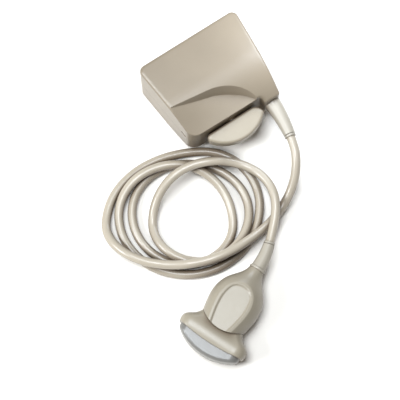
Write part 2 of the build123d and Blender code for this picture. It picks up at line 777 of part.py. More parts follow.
def boot_solid(name, path, base_radius, flange_start):
    """A tapering strain relief on its bent path, with a neck and a flange held inside the housing."""
    tip_radius = CABLE_RADIUS + BOOT_TIP_WALL
    base = section_on(path, 0)
    with BuildPart() as boot:
        for section in range(BOOT_SECTIONS):
            share = section / (BOOT_SECTIONS - 1)
            with BuildSketch(section_on(path, share)):
                Circle(base_radius + (tip_radius - base_radius) * share)
        loft()
        ring_place = 1 - BOOT_RING_LENGTH / path.length
        with BuildSketch(section_on(path, ring_place)):
            Circle(base_radius)
            Circle(tip_radius - BOOT_RING_DEPTH, mode=Mode.SUBTRACT)
        extrude(amount=BOOT_RING_DEPTH, mode=Mode.SUBTRACT)
        with BuildSketch(base):
            Circle(CABLE_RADIUS + BOOT_NECK_WALL)
        extrude(amount=-flange_start)
        with BuildSketch(base.offset(-flange_start)):
            Circle(CABLE_RADIUS + BOOT_FLANGE_WALL)
        extrude(amount=-BOOT_FLANGE_LENGTH)
        with BuildSketch(base):
            Circle(CABLE_RADIUS + RUNNING_FIT)
        sweep(path=path, mode=Mode.SUBTRACT)
        with BuildSketch(base):
            Circle(CABLE_RADIUS + RUNNING_FIT)
        extrude(amount=-(flange_start + BOOT_FLANGE_LENGTH + CUT_PAST), mode=Mode.SUBTRACT)
    finish(boot, name)


def cable_end_solid(name, path, inside):
    """The cable within a strain relief, from inside the housing to the tip."""
    base = section_on(path, 0)
    with BuildPart() as end:
        with BuildSketch(base):
            Circle(CABLE_RADIUS)
        sweep(path=path)
        with BuildSketch(base):
            Circle(CABLE_RADIUS)
        extrude(amount=-inside)
    finish(end, name)


def ferrule_solid(name, base, start):
    """The crimp ring on the cable behind a strain relief."""
    with BuildPart() as ferrule:
        with BuildSketch(base.offset(-start)):
            Circle(CABLE_RADIUS + FERRULE_WALL)
            Circle(CABLE_RADIUS + RUNNING_FIT, mode=Mode.SUBTRACT)
        extrude(amount=-FERRULE_LENGTH)
    finish(ferrule, name)


connector_flange_start = HOUSING_WALL + SLIDE_FIT
connector_ferrule_start = NOSE_REACH + HOUSING_WALL + SEAT_GAP
connector_cable_inside = connector_ferrule_start + FERRULE_LENGTH + CABLE_TAIL
connector_boot_base = section_on(connector_boot_path, 0)
boot_solid("connector_boot", connector_boot_path, CONNECTOR_BOOT_DIAMETER / 2, connector_flange_start)
cable_end_solid("connector_cable_end", connector_boot_path, connector_cable_inside)
ferrule_solid("connector_ferrule", connector_boot_base, connector_ferrule_start)

with BuildPart() as connector_coax_fan:
    with BuildSketch(connector_boot_base.offset(-connector_cable_inside - SEAT_GAP)):
        Circle(CABLE_RADIUS - CABLE_JACKET)
    with BuildSketch(across_connector(board_front - SEAT_GAP, CONNECTOR_FAN_X)):
        RectangleRounded(CONNECTOR_FAN_WIDTH, CONNECTOR_FAN_THICKNESS, FAN_CORNER)
    loft()
finish(connector_coax_fan, "connector_coax_fan")


def facet_points(inset):
    """Points round a facet of the grip, drawn in by the inset."""
    half_facet = HANDLE_THICKNESS / 2
    side = []
    for x, half_width, half_height in HANDLE_STATIONS:
        if half_height > half_facet:
            half_facet_width = half_width * math.sqrt(1 - (half_facet / half_height) ** 2)
            side.append((x, half_facet_width - inset))
            last_x, last_height = x, half_height
        else:
            break
    share = (last_height - half_facet) / (last_height - half_height)
    tip = (last_x + (x - last_x) * share - inset, 0)
    other_side = [(place, -half_width) for place, half_width in reversed(side)]
    return [*side, tip, *other_side]


def dish_tool():
    """The shallow dish in both facets, a rim's width inside each facet's own outline."""
    with BuildPart() as tool:
        for rise, run in ((DISH_DEPTH, -DISH_RUN), (-DISH_DEPTH, DISH_RUN)):
            with BuildSketch(probe.offset(HANDLE_THICKNESS / 2 + rise)):
                with BuildLine():
                    outline = Spline(*facet_points(DISH_RIM + run))
                    Line(outline @ 1, outline @ 0)
                make_face()
        loft()
        mirror(about=probe)
    return tool.part


def handle_form(inset):
    """The grip drawn in by the inset: an egg with a flat facet on both sides, ended by the crease."""
    stations = HANDLE_STATIONS if inset == 0 else HANDLE_STATIONS[:-1]
    with BuildPart() as form:
        for x, half_width, half_height in stations:
            with BuildSketch(across_probe(x)):
                Ellipse(half_width - inset, half_height - inset)
        loft()
        with BuildSketch(across_probe(0)):
            Rectangle(2 * HANDLE_THICKNESS, HANDLE_THICKNESS - 2 * inset)
        extrude(amount=HANDLE_STATIONS[-1][0] + CUT_PAST, mode=Mode.INTERSECT)
        if inset == 0:
            facets = form.faces().filter_by(Axis.Z)
            chamfer(facets.edges().filter_by(GeomType.LINE, reverse=True), FACET_BEVEL, FACET_BEVEL_DEPTH)
        with BuildSketch(probe):
            with Locations((CREASE_CENTRE, 0)):
                Circle(CREASE_RADIUS - inset)
                Rectangle(HANDLE_STATIONS[-1][0], 2 * HANDLE_THICKNESS, align=(Align.MIN, Align.CENTER))
        extrude(amount=HANDLE_THICKNESS, both=True, mode=Mode.INTERSECT)
    return form.part


handle_end = HANDLE_STATIONS[-1][0]
neck_end = HANDLE_STATIONS[-2][0]
board_clear = BOARD_THICKNESS / 2 + SEAT_GAP

with BuildPart() as handle_cavity:
    add(handle_form(HANDLE_WALL))

with BuildPart() as handle_posts:
    with BuildSketch(probe):
        with Locations((POST_X, POST_SPREAD), (POST_X, -POST_SPREAD)):
            Circle(POST_DIAMETER / 2)
    extrude(amount=HANDLE_THICKNESS, both=True)
    with BuildSketch(probe):
        with Locations((POST_X, 0)):
            Rectangle(2 * POST_DIAMETER, 4 * POST_SPREAD)
    extrude(amount=board_clear, both=True, mode=Mode.SUBTRACT)
    add(handle_cavity.part, mode=Mode.INTERSECT)

with BuildPart() as handle:
    add(handle_form(0))
    add(dish_tool(), mode=Mode.SUBTRACT)
    add(handle_cavity.part, mode=Mode.SUBTRACT)
    add(handle_posts.part)
    # Opening of the nose's spigot and bore of the strain relief
    with BuildSketch(across_probe(0)):
        RectangleRounded(
            2 * (SPIGOT_HALF_WIDTH + SLIDE_FIT),
            2 * (SPIGOT_HALF_HEIGHT + SLIDE_FIT),
            SPIGOT_CORNER + SLIDE_FIT,
        )
    extrude(amount=CREASE_CENTRE, mode=Mode.SUBTRACT)
    with BuildSketch(across_probe(handle_end + CUT_PAST)):
        Circle(CABLE_RADIUS + BOOT_NECK_WALL + SLIDE_FIT)
    extrude(amount=-(handle_end - neck_end + 2 * CUT_PAST), mode=Mode.SUBTRACT)

with BuildPart() as handle_front_shell:
    add(handle.part)
    split(bisect_by=probe, keep=Keep.TOP)
finish(handle_front_shell, "handle_front_shell")

with BuildPart() as handle_back_shell:
    add(handle.part)
    split(bisect_by=probe, keep=Keep.BOTTOM)
finish(handle_back_shell, "handle_back_shell")

with BuildPart() as nose_shell:
    for x, half_width, half_height, corner in NOSE_STATIONS:
        with BuildSketch(across_probe(x)):
            RectangleRounded(2 * half_width, 2 * half_height, corner)
    loft()
    # The rim round the lens is a shallow arc
    with BuildSketch(probe):
        with Locations((RIM_X + RIM_RADIUS, 0)):
            Circle(RIM_RADIUS)
    extrude(amount=HANDLE_THICKNESS, both=True, mode=Mode.INTERSECT)
    # The handle ends against the crease
    with BuildSketch(probe):
        with Locations((CREASE_CENTRE, 0)):
            Circle(CREASE_RADIUS + RUNNING_FIT)
    extrude(amount=HANDLE_THICKNESS, both=True, mode=Mode.SUBTRACT)
    with BuildSketch(across_probe(LENS_SEAT_X)):
        RectangleRounded(2 * SPIGOT_HALF_WIDTH, 2 * SPIGOT_HALF_HEIGHT, SPIGOT_CORNER)
    extrude(amount=SPIGOT_END - LENS_SEAT_X)
    # Seat of the lens, the chamber of the array, and the way through the spigot
    with BuildSketch(across_probe(LENS_SEAT_X)):
        RectangleRounded(LENS_WIDTH + 2 * BOND_LINE, LENS_HEIGHT + 2 * BOND_LINE, LENS_CORNER)
    extrude(amount=-(LENS_SEAT_X - LENS_APEX), mode=Mode.SUBTRACT)
    with BuildSketch(across_probe(LENS_SEAT_X - CUT_PAST)):
        RectangleRounded(FRAME_WIDTH + 2 * SLIDE_FIT, FRAME_HEIGHT + 2 * SLIDE_FIT, FRAME_CORNER)
    extrude(amount=CUT_PAST + FRAME_LENGTH + 2 * SEAT_GAP, mode=Mode.SUBTRACT)
    with BuildSketch(across_probe(LENS_SEAT_X)):
        RectangleRounded(
            2 * (SPIGOT_HALF_WIDTH - SPIGOT_WALL),
            2 * (SPIGOT_HALF_HEIGHT - SPIGOT_WALL),
            SPIGOT_CORNER - SPIGOT_WALL,
        )
    extrude(amount=SPIGOT_END, mode=Mode.SUBTRACT)
finish(nose_shell, "nose_shell")

lens_centre = LENS_APEX + LENS_RADIUS


def array_layer(outer_radius, half_width, back):
    """Plan of one curved layer of the array, from its front arc back to a straight line."""
    edge_x = lens_centre - math.sqrt(outer_radius**2 - half_width**2)
    with BuildSketch(probe) as layer:
        with BuildLine():
            ThreePointArc((edge_x, -half_width), (lens_centre - outer_radius, 0), (edge_x, half_width))
            Polyline((edge_x, half_width), (back, half_width), (back, -half_width), (edge_x, -half_width))
        make_face()
    return layer.sketch


with BuildPart() as lens_hollow:
    hollow_half_width = LENS_WIDTH / 2 - LENS_SKIRT
    hollow_half_height = LENS_HEIGHT / 2 - LENS_SKIRT
    hollow_plan = array_layer(LENS_RADIUS - LENS_FACE, hollow_half_width, LENS_SEAT_X + CUT_PAST)
    extrude(hollow_plan, amount=hollow_half_height, both=True)
    with BuildSketch(across_probe(LENS_SEAT_X + CUT_PAST)):
        RectangleRounded(2 * hollow_half_width, 2 * hollow_half_height, LENS_CORNER - LENS_SKIRT)
    extrude(amount=-LENS_RADIUS, mode=Mode.INTERSECT)

with BuildPart() as acoustic_lens:
    lens_back = LENS_SEAT_X - SEAT_GAP
    extrude(array_layer(LENS_RADIUS, LENS_WIDTH / 2, lens_back), amount=LENS_HEIGHT / 2, both=True)
    with BuildSketch(across_probe(LENS_SEAT_X)):
        RectangleRounded(LENS_WIDTH, LENS_HEIGHT, LENS_CORNER)
    extrude(amount=-LENS_RADIUS, mode=Mode.INTERSECT)
    front = acoustic_lens.faces().filter_by(GeomType.CYLINDER).sort_by(SortBy.AREA)[-1]
    fillet(front.edges(), LENS_ROUNDING)
    add(lens_hollow.part, mode=Mode.SUBTRACT)
finish(acoustic_lens, "acoustic_lens")

matching_outer = LENS_RADIUS - LENS_FACE - BOND_LINE
crystal_outer = matching_outer - MATCHING_THICKNESS - BOND_LINE
backing_outer = crystal_outer - CRYSTAL_THICKNESS - BOND_LINE
frame_start = LENS_SEAT_X + SEAT_GAP
backing_back = frame_start + FRAME_LENGTH


def curved_sheet(name, outer_radius, thickness):
    """A thin curved layer of the array."""
    with BuildPart() as sheet:
        extrude(array_layer(outer_radius, ARRAY_WIDTH / 2, LENS_SEAT_X), amount=ARRAY_HEIGHT / 2, both=True)
        extrude(
            array_layer(outer_radius - thickness, ARRAY_WIDTH / 2 + CUT_PAST, LENS_SEAT_X + CUT_PAST),
            amount=ARRAY_HEIGHT,
            both=True,
            mode=Mode.SUBTRACT,
        )
    finish(sheet, name)


curved_sheet("matching_layer", matching_outer, MATCHING_THICKNESS)
curved_sheet("crystal_array", crystal_outer, CRYSTAL_THICKNESS)

with BuildPart() as backing_block:
    extrude(array_layer(backing_outer, ARRAY_WIDTH / 2, backing_back), amount=ARRAY_HEIGHT / 2, both=True)
finish(backing_block, "backing_block")

with BuildPart() as array_frame:
    with BuildSketch(across_probe(frame_start)):
        RectangleRounded(FRAME_WIDTH, FRAME_HEIGHT, FRAME_CORNER)
        Rectangle(ARRAY_WIDTH + 2 * SLIDE_FIT, ARRAY_HEIGHT + 2 * SLIDE_FIT, mode=Mode.SUBTRACT)
    extrude(amount=FRAME_LENGTH)
finish(array_frame, "array_frame")

flex_start = backing_back + SEAT_GAP
flex_level = BOARD_THICKNESS / 2 + SEAT_GAP

with BuildPart() as flex_circuits:
    with BuildSketch(across_probe(flex_start)):
        for side in (1, -1):
            with Locations((0, side * (flex_level + FLEX_THICKNESS / 2))):
                Rectangle(FLEX_WIDTH, FLEX_THICKNESS)
    extrude(amount=BOARD_START + FLEX_OVERLAP - flex_start)
finish(flex_circuits, "flex_circuits")

with BuildPart() as probe_board:
    with BuildSketch(across_probe(BOARD_START)):
        Rectangle(BOARD_WIDTH, BOARD_THICKNESS)
    extrude(amount=BOARD_LENGTH)
finish(probe_board, "probe_board")

coax_start = BOARD_START + BOARD_LENGTH - COAX_BLOCK_LENGTH

with BuildPart() as coax_connectors:
    with BuildSketch(across_probe(coax_start)):
        for side in (1, -1):
            with Locations((0, side * (flex_level + COAX_BLOCK_HEIGHT / 2))):
                Rectangle(COAX_BLOCK_WIDTH, COAX_BLOCK_HEIGHT)
    extrude(amount=COAX_BLOCK_LENGTH)
finish(coax_connectors, "coax_connectors")

# Collar and strain relief of the probe
collar_start = handle_end + SEAT_GAP
probe_boot_x = collar_start + COLLAR_LENGTH + SEAT_GAP
probe_boot_start = probe.from_local_coords((probe_boot_x, 0, 0))
probe_boot_path = boot_path(probe_boot_start, probe.x_dir, probe.y_dir, PROBE_BOOT_LENGTH, PROBE_BOOT_BEND)
probe_flange_start = probe_boot_x - neck_end + SLIDE_FIT
probe_ferrule_start = probe_flange_start + BOOT_FLANGE_LENGTH + SEAT_GAP
probe_cable_inside = probe_ferrule_start + FERRULE_LENGTH + CABLE_TAIL
probe_boot_base = section_on(probe_boot_path, 0)

with BuildPart() as probe_collar:
    with BuildSketch(across_probe(collar_start)):
        Circle(HANDLE_STATIONS[-1][1] + COLLAR_STEP)
        Circle(CABLE_RADIUS + BOOT_NECK_WALL + SLIDE_FIT, mode=Mode.SUBTRACT)
    extrude(amount=COLLAR_LENGTH)
    outside = probe_collar.edges().filter_by(GeomType.CIRCLE).sort_by(SortBy.RADIUS)[-2:]
    fillet(outside, COLLAR_ROUNDING)
finish(probe_collar, "probe_collar")

boot_solid("probe_boot", probe_boot_path, PROBE_BOOT_DIAMETER / 2, probe_flange_start)
cable_end_solid("probe_cable_end", probe_boot_path, probe_cable_inside)
ferrule_solid("probe_ferrule", probe_boot_base, probe_ferrule_start)

with BuildPart() as probe_coax_fan:
    with BuildSketch(across_probe(probe_boot_x - probe_cable_inside - SEAT_GAP)):
        Circle(CABLE_RADIUS - CABLE_JACKET)
    with BuildSketch(across_probe(BOARD_START + BOARD_LENGTH + PROBE_FAN_GAP)):
        RectangleRounded(COAX_BLOCK_WIDTH, PROBE_FAN_THICKNESS, FAN_CORNER)
    loft()
finish(probe_coax_fan, "probe_coax_fan")

# Cable: a coil and two leads
with BuildPart() as cable_coil:
    with BuildSketch():
        with Locations(COIL_CENTRE):
            Ellipse(COIL_HALF_X, COIL_HALF_Y)
        with Locations(COIL_HOLE_CENTRE):
            Ellipse(COIL_HOLE_HALF_X, COIL_HOLE_HALF_Y, mode=Mode.SUBTRACT)
    extrude(amount=COIL_HEIGHT)
finish(cable_coil, "cable_coil")


def corner_radii(points):
    """Radius of the arc at each inner point of a route, as large as its two runs allow."""
    radii = []
    for before, here, after in zip(points, points[1:], points[2:]):
        run_in = Vector(here) - Vector(before)
        run_out = Vector(after) - Vector(here)
        half_turn = math.radians(run_in.get_angle(run_out)) / 2
        radii.append(ARC_SHARE * min(run_in.length, run_out.length) / math.tan(half_turn))
    return radii


def lead_solid(name, boot, route):
    """A lead from the tip of a strain relief along its route into the coil."""
    tip = boot @ 1
    leave = tip + (boot % 1) * LEAD_STRAIGHT
    points = [tip, leave] + [Vector(place) for place in route]
    radii = corner_radii(points)
    with BuildPart() as lead:
        with BuildLine() as line:
            FilletPolyline(*points, radius=radii)
        with BuildSketch(section_on(boot, 1)):
            Circle(CABLE_RADIUS)
        sweep(path=line.wire())
        add(cable_coil.part, mode=Mode.SUBTRACT)
    finish(lead, name)


lead_solid("connector_lead", connector_boot_path, CONNECTOR_LEAD)
lead_solid("probe_lead", probe_boot_path, PROBE_LEAD)
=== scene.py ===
"""Dresses the ultrasound probe, its coiled cable and its scanner connector, and sets up the studio.

Lengths in the named values are millimetres, and mm() turns them into Blender's metres.
"""

import json
import math

import bpy
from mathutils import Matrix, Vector


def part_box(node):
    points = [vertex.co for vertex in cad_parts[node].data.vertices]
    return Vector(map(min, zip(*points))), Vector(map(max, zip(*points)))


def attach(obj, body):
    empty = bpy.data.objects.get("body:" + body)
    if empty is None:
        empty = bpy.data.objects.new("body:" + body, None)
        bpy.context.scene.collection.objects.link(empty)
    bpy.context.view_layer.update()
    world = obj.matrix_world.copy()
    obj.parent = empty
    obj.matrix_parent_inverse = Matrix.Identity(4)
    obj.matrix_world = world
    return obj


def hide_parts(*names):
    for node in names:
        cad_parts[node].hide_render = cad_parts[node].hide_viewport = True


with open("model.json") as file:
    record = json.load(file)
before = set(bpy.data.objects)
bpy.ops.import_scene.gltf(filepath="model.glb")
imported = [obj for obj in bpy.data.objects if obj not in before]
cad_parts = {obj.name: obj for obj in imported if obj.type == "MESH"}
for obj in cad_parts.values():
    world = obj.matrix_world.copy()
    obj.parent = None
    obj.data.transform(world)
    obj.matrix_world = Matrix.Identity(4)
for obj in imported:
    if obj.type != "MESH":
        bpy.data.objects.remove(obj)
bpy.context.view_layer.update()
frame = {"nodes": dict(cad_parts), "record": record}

MILLIMETRE = 0.001

# Camera: it looks down on the floor from a little in front
CAMERA_TARGET = (-16.0, -4.1, 0.0)
CAMERA_DISTANCE = 1200.0
CAMERA_TILT = 14.0
CAMERA_LENS = 121.3
CAMERA_SENSOR = 36.0
CAMERA_REACH = 10000.0

# Cable
CABLE_DIAMETER = 8.0
LEAD_STRAIGHT = 10.0
CABLE_CURVE_STEPS = 12
CABLE_BEVEL_STEPS = 8
CONNECTOR_TIP = (63.53, 45.77, 29.0)
CONNECTOR_TIP_DIRECTION = (0.350, -0.937, 0.0)
PROBE_TIP = (44.56, -46.09, 16.0)
PROBE_TIP_DIRECTION = (0.259, 0.966, 0.0)
CONNECTOR_LEAD = (
    (68.4, 24.4, 27.4),
    (67.6, 11.6, 21.4),
    (63.6, -0.4, 14.0),
    (56.8, -12.4, 8.4),
    (47.4, -24.8, 7.2),
    (36.1, -36.2, 11.6),
    (24.4, -45.6, 16.7),
)
PROBE_LEAD = (
    (50.2, -21.2, 17.5),
    (50.2, -7.6, 18.5),
    (45.8, 5.4, 17.5),
    (37.0, 16.1, 15.5),
    (25.1, 23.4, 13.5),
    (12.0, 26.9, 15.0),
)
# Where the connector's lead climbs over the other turns
COIL_CLIMB = (
    (12.7, -54.0, 20.2),
    (1.3, -59.5, 21.4),
    (-10.8, -63.6, 20.8),
    (-24.6, -66.2, 20.6),
)
# The turns' lowest, leftmost, highest and rightmost places in turn: x, y, height, and the height half-way
# to the next place
COIL_PLACES = (
    (-40.3, -66.8, 17.0, 12.6),
    (-100.3, -26.1, 4.2, 4.2),
    (-13.3, 40.5, 4.2, 4.2),
    (38.0, -10.6, 4.2, 4.2),
    (-27.4, -73.6, 4.2, 4.2),
    (-88.9, -19.7, 4.2, 11.4),
    (-36.4, 26.0, 13.0, 8.0),
    (14.0, -27.0, 4.2, 4.2),
    (-28.3, -64.3, 4.2, 4.2),
    (-77.1, -16.1, 4.2, 4.2),
    (-26.7, 28.9, 4.2, 4.2),
    (28.1, -16.1, 4.2, 11.3),
    (-16.0, -63.3, 12.6, 10.5),
    (-58.8, -25.2, 4.2, 17.6),
    (-3.7, 26.8, 21.2, 21.2),
)
COIL_STEPS = 4

# Seams between the moulded halves: height above the floor
CONNECTOR_SEAM = 29.0
PROBE_SEAM = 16.0
SEAM_WIDTH = 0.35

# Plug contacts: rows of small pads on the strips' outer faces
CONNECTOR_TURN = 33.5
STRIP_DEPTH = 4.0
STRIP_LEVELS = (-16.3, -12.1, -7.9, 7.9, 12.1, 16.3)
PADS_PER_STRIP = 42
PAD_PITCH = 1.5
PAD_WIDTH = 0.95
PAD_HEIGHT = 1.7
PAD_STAND = 0.5
PAD_SUNK = 0.05
PAD_TAPER = 0.6

# Most of a noise texture's values lie between these two
NOISE_LOW = 0.3
NOISE_HIGH = 0.7

# Moulded plastics: clouds in the colour, painted shade where other surfaces are near, edges lightened partly
# for wear and partly as a painted highlight, uneven polish and a fine grain
CLOUD_SIZE = 30.0
CLOUD_DARK = 0.965
CLOUD_LIGHT = 1.03
# Painted shade: a brown tint mixed into the colour where ambient occlusion finds other surfaces near, in
# recesses, between parts and on flanks close to the floor
PAINTED_SHADE_COLOUR = (0.135, 0.098, 0.065)
PAINTED_SHADE_REACH = 30.0
PAINTED_SHADE_SAMPLES = 6
PAINTED_SHADE_FULL_AT = 0.3
PAINTED_SHADE_ENDS_AT = 0.82
EDGE_RADIUS = 0.9
EDGE_SAMPLES = 4
# Edges lightened in colour: partly edge wear, partly a painted highlight
EDGE_FLAT_AT = 0.99
EDGE_SHARP_AT = 0.86
EDGE_WEAR_AND_HIGHLIGHT_SHARE = 0.35
EDGE_WEAR_AND_HIGHLIGHT_LIGHTER = 1.18
SEAM_DARK = 0.45
POLISH_SIZE = 2.5
POLISH_BELOW = 0.02
POLISH_ABOVE = 0.03
GRAIN_SIZE = 0.5
GRAIN_DEPTH = 0.3
GRAIN_STRENGTH = 0.12
# Each plastic may also set its painted shade colour and the openness at which its painted shade stops
PLASTICS = {
    "housing_plastic": {"colour": (0.235, 0.193, 0.14), "roughness": 0.31, "seam": CONNECTOR_SEAM},
    "knob_plastic": {"colour": (0.34, 0.295, 0.225), "roughness": 0.33},
    "probe_plastic": {"colour": (0.295, 0.26, 0.20), "roughness": 0.34, "seam": PROBE_SEAM, "painted_shade_stops_at": 0.95},
    "cable_jacket": {"colour": (0.42, 0.37, 0.295), "roughness": 0.24, "grain": 0.05, "painted_shade_stops_at": 1.02},
    "boot_rubber": {"colour": (0.36, 0.325, 0.265), "roughness": 0.36},
    "lens_silicone": {
        "colour": (0.175, 0.168, 0.155),
        "painted_shade": (0.09, 0.075, 0.06),
        "roughness": 0.33,
        "grain": 0.03,
        "coat": 0.08,
    },
}

# Metals: dulled patches and tool marks; each has a colour and a roughness
DULL_SIZE = 5.0
DULL_FROM = 0.35
DULL_DARK = 0.78
MARK_SIZE = 0.4
MARK_DEPTH = 0.1
MARK_STRENGTH = 0.15
MARK_ROUGHER = 0.18
METALS = {
    "steel": ((0.62, 0.62, 0.63), 0.28),
    "plug_metal": ((0.66, 0.66, 0.65), 0.32),
    "contact_metal": ((0.83, 0.62, 0.28), 0.25),
    "bronze": ((0.26, 0.18, 0.10), 0.45),
}

# Two-toned fillings and boards: two colours, the size of the specks and a roughness
SPECK_FROM = 0.42
SPECK_TO = 0.6
SPECK_ROUGHER = 0.1
SPECKLED = {
    "insulator": ((0.045, 0.045, 0.05), (0.07, 0.07, 0.075), 0.6, 0.5),
    "seal_rubber": ((0.02, 0.02, 0.02), (0.035, 0.035, 0.035), 0.4, 0.6),
    "board": ((0.02, 0.13, 0.05), (0.03, 0.19, 0.08), 1.6, 0.4),
    "components": ((0.05, 0.05, 0.055), (0.10, 0.09, 0.08), 0.5, 0.55),
    "matching": ((0.16, 0.13, 0.20), (0.20, 0.16, 0.24), 0.5, 0.5),
    "backing": ((0.05, 0.05, 0.05), (0.14, 0.13, 0.12), 0.35, 0.7),
}

# Rows of conductors or elements: two colours, the pitch and a roughness
WAVES_PER_PITCH = 0.3
STRIPE_WOBBLE = 0.3
STRIPE_FROM = 0.35
STRIPE_TO = 0.6
STRIPE_ROUGHER = 0.15
STRIPED = {
    "ribbon": ((0.45, 0.20, 0.05), (0.55, 0.28, 0.09), 0.8, 0.35),
    "coax": ((0.45, 0.45, 0.47), (0.30, 0.30, 0.33), 0.5, 0.45),
    "element_ceramic": ((0.48, 0.44, 0.33), (0.20, 0.18, 0.14), 0.4, 0.5),
}

# Studio; each softbox has a place, a target, a size, a power in watts and a colour
SOFTBOXES = {
    "overhead": ((-220, 10, 1500), (-16, -4, 0), 680, 22.5, (0.94, 1.0, 1.06)),
    "key": ((-950, -250, 800), (-16, -4, 0), 400, 13.5, (0.96, 1.0, 1.04)),
    "connector_light": ((86, 160, 140), (62, 110, 50), 80, 0.25, (0.92, 1.0, 1.12)),
}
FLOOR_SIZE = 9000.0
FLOOR_COLOUR = (0.90, 0.86, 0.80)
FLOOR_DARK = 0.995
FLOOR_CLOUD_SIZE = 40.0
FLOOR_ROUGHNESS = 0.8
WORLD_COLOUR = (1.0, 0.90, 0.78)
WORLD_STRENGTH = 0.15


def mm(*values):
    """Millimetres to metres, as a vector."""
    return Vector(values) * MILLIMETRE


def make_camera():
    """The camera at the photograph's angle."""
    tilt = math.radians(CAMERA_TILT)
    data = bpy.data.cameras.new("camera")
    data.lens = CAMERA_LENS
    data.sensor_width = CAMERA_SENSOR
    data.clip_end = CAMERA_REACH * MILLIMETRE
    camera = bpy.data.objects.new("camera", data)
    back = Vector((0, -math.sin(tilt), math.cos(tilt)))
    camera.location = mm(*CAMERA_TARGET) + back * CAMERA_DISTANCE * MILLIMETRE
    camera.rotation_euler = (tilt, 0, 0)
    bpy.context.collection.objects.link(camera)
    bpy.context.scene.camera = camera


def smooth(share):
    """Ease in and out."""
    return share * share * (3 - 2 * share)


def coil_turns():
    """Points of the loose turns: a quarter of an ellipse from each place to the next."""
    points = []
    for index in range(len(COIL_PLACES) - 1):
        x, y, height, half_height = COIL_PLACES[index]
        next_x, next_y, next_height, _ = COIL_PLACES[index + 1]
        leaves_level = index % 2 == 0
        for step in range(COIL_STEPS):
            share = step / COIL_STEPS
            sine = math.sin(share * math.pi / 2)
            cosine = math.cos(share * math.pi / 2)
            if leaves_level:
                place = (x + (next_x - x) * sine, next_y + (y - next_y) * cosine)
            else:
                place = (next_x + (x - next_x) * cosine, y + (next_y - y) * sine)
            if share < 0.5:
                level = height + (half_height - height) * smooth(share * 2)
            else:
                level = half_height + (next_height - half_height) * smooth(share * 2 - 1)
            points.append((*place, level))
    points.append(COIL_PLACES[-1][:3])
    return points


def make_cable():
    """The whole cable as one spline, from the connector's strain relief to the probe's."""
    connector_leave = Vector(CONNECTOR_TIP) + Vector(CONNECTOR_TIP_DIRECTION) * LEAD_STRAIGHT
    probe_leave = Vector(PROBE_TIP) + Vector(PROBE_TIP_DIRECTION) * LEAD_STRAIGHT
    route = [CONNECTOR_TIP, connector_leave, *CONNECTOR_LEAD, *COIL_CLIMB, *coil_turns()]
    route += [*reversed(PROBE_LEAD), probe_leave, PROBE_TIP]
    curve = bpy.data.curves.new("cable", "CURVE")
    curve.dimensions = "3D"
    # The bevel is one metre, and the points' radii bring it down to the cable's
    curve.bevel_depth = 1
    curve.bevel_resolution = CABLE_BEVEL_STEPS
    curve.resolution_u = CABLE_CURVE_STEPS
    spline = curve.splines.new("NURBS")
    spline.points.add(len(route) - 1)
    for point, place in zip(spline.points, route):
        point.co = (*mm(*place), 1)
        point.radius = CABLE_DIAMETER / 2 * MILLIMETRE
    spline.order_u = 3
    spline.use_endpoint_u = True
    cable = bpy.data.objects.new("cable", curve)
    bpy.context.collection.objects.link(cable)
    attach(cable, "probe_and_connector")
    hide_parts("cable_coil", "connector_lead", "probe_lead")
    return cable


def make_contact_pads():
    """Tapered spring contacts in rows on the plug's strips."""
    low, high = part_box("contact_strips")
    middle = (Vector(low) + Vector(high)) / 2
    turn = math.radians(CONNECTOR_TURN)
    across = Vector((math.cos(turn), math.sin(turn), 0))
    outward = Vector((-math.sin(turn), math.cos(turn), 0))
    up = Vector((0, 0, 1))
    verts = []
    faces = []
    for level in STRIP_LEVELS:
        for index in range(PADS_PER_STRIP):
            shift = (index - (PADS_PER_STRIP - 1) / 2) * PAD_PITCH
            first = len(verts)
            for stand, share in ((-PAD_SUNK, 1), (PAD_STAND, PAD_TAPER)):
                for side, edge in ((-1, -1), (1, -1), (1, 1), (-1, 1)):
                    along = across * (shift + side * share * PAD_WIDTH / 2)
                    rise = up * (level + edge * share * PAD_HEIGHT / 2)
                    verts.append(middle + (along + rise + outward * (STRIP_DEPTH / 2 + stand)) * MILLIMETRE)
            faces += [(first, first + 1, first + 2, first + 3), (first + 7, first + 6, first + 5, first + 4)]
            for corner in range(4):
                follow = (corner + 1) % 4
                faces.append((first + follow, first + corner, first + 4 + corner, first + 4 + follow))
    mesh = bpy.data.meshes.new("contact_pads")
    mesh.from_pydata(verts, [], faces)
    pads = bpy.data.objects.new("contact_pads", mesh)
    bpy.context.collection.objects.link(pads)
    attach(pads, "probe_and_connector")
    return pads


def add_node(tree, kind, inputs, **settings):
    """A new node, with its inputs set to values or linked to sockets."""
    node = tree.nodes.new(kind)
    for name, value in settings.items():
        setattr(node, name, value)
    for name, value in inputs.items():
        if isinstance(value, bpy.types.NodeSocket):
            tree.links.new(value, node.inputs[name])
        else:
            node.inputs[name].default_value = value
    return node


def new_material(name):
    """An empty node material: its tree, its shader and its place on the object."""
    material = bpy.data.materials.new(name)
    material.use_nodes = True
    tree = material.node_tree
    place = add_node(tree, "ShaderNodeTexCoord", {}).outputs["Object"]
    return material, tree, tree.nodes["Principled BSDF"], place


def noise(tree, place, size, detail=2.0):
    """Noise whose lumps are about this many millimetres across."""
    inputs = {"Vector": place, "Scale": 1 / (size * MILLIMETRE), "Detail": detail}
    return add_node(tree, "ShaderNodeTexNoise", inputs).outputs["Fac"]


def spread(tree, value, low, high, out_low, out_high):
    """The value stretched from one range to another, and kept inside it."""
    inputs = {"Value": value, "From Min": low, "From Max": high, "To Min": out_low, "To Max": out_high}
    return add_node(tree, "ShaderNodeMapRange", inputs).outputs["Result"]


def mix(tree, share, first, second):
    """Two colours mixed by a share."""
    node = tree.nodes.new("ShaderNodeMix")
    node.data_type = "RGBA"
    tree.links.new(share, node.inputs[0])
    for socket, colour in ((node.inputs[6], first), (node.inputs[7], second)):
        if isinstance(colour, bpy.types.NodeSocket):
            tree.links.new(colour, socket)
        else:
            socket.default_value = (*colour, 1)
    return node.outputs[2]


def lighter(colour, times):
    """The colour times a number, and not past white."""
    return tuple(min(part * times, 1) for part in colour)


